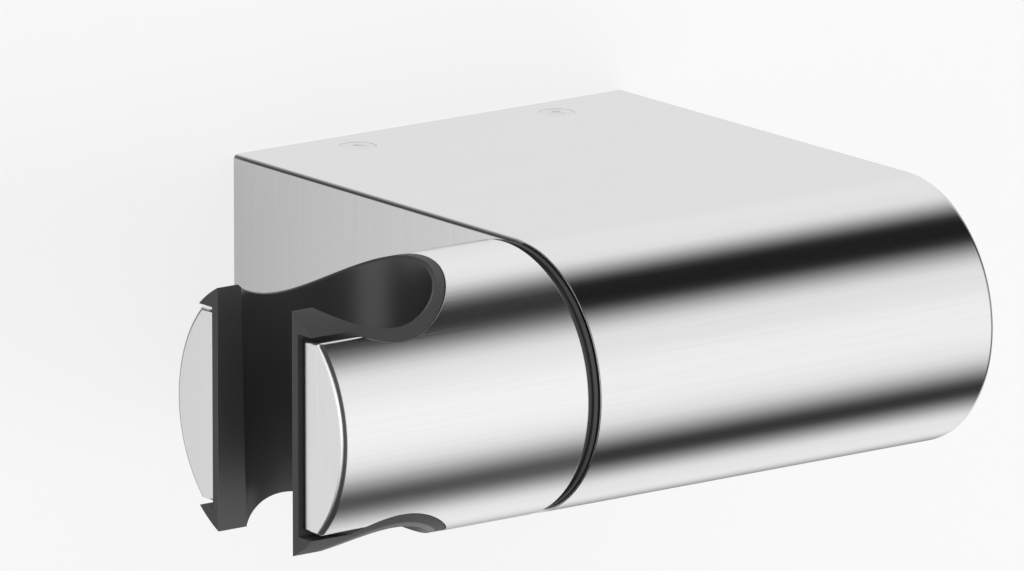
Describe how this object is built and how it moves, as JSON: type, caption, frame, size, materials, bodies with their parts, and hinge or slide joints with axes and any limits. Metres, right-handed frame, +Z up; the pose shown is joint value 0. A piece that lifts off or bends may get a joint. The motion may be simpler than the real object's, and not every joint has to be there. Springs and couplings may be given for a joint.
{
  "type": "wall-mounted hand shower holder",
  "caption": "Wall holder for a hand shower: D-shaped metal housing with a tilting barrel and an open black socket on its left end.",
  "frame": {"origin": "centre of the wall plate's back face, on the wall, at the middle of the housing's width and at the height of the tilting axis", "axes": "+X to the right seen from the front and along the tilting axis, +Y into the wall, +Z up; the front is -Y and the barrel is on the -X side"},
  "size_m": [0.1065, 0.0794, 0.036],
  "materials": {
    "brushed_metal": "finely brushed",
    "black_plastic": "satin black",
    "plate_steel": "plain rolled",
    "bright_steel": "bright turned",
    "spring_steel": "blued",
    "bearing_plastic": "natural white",
    "nylon": "blue nylon"
  },
  "bodies": {
    "housing": {"housing": "brushed_metal", "wall_plate": "plate_steel", "set_screw_left": "bright_steel", "set_screw_right": "bright_steel", "bearing_bush": "bearing_plastic", "friction_washer": "bearing_plastic"},
    "barrel": {"barrel": "brushed_metal", "socket_insert": "black_plastic", "gap_ring": "black_plastic", "spindle_bolt": "bright_steel", "stop_pin": "bright_steel", "pressure_washer": "bright_steel", "disc_spring": "spring_steel", "thrust_washer": "bright_steel", "lock_nut": "bright_steel", "nut_collar": "nylon"}
  },
  "joints": [
    {"name": "barrel_tilt", "type": "hinge", "parent": "housing", "child": "barrel", "pos_m": [-0.0324, -0.0614, 0], "axis": [1, 0, 0], "range_deg": [-60, 60]}
  ]
}
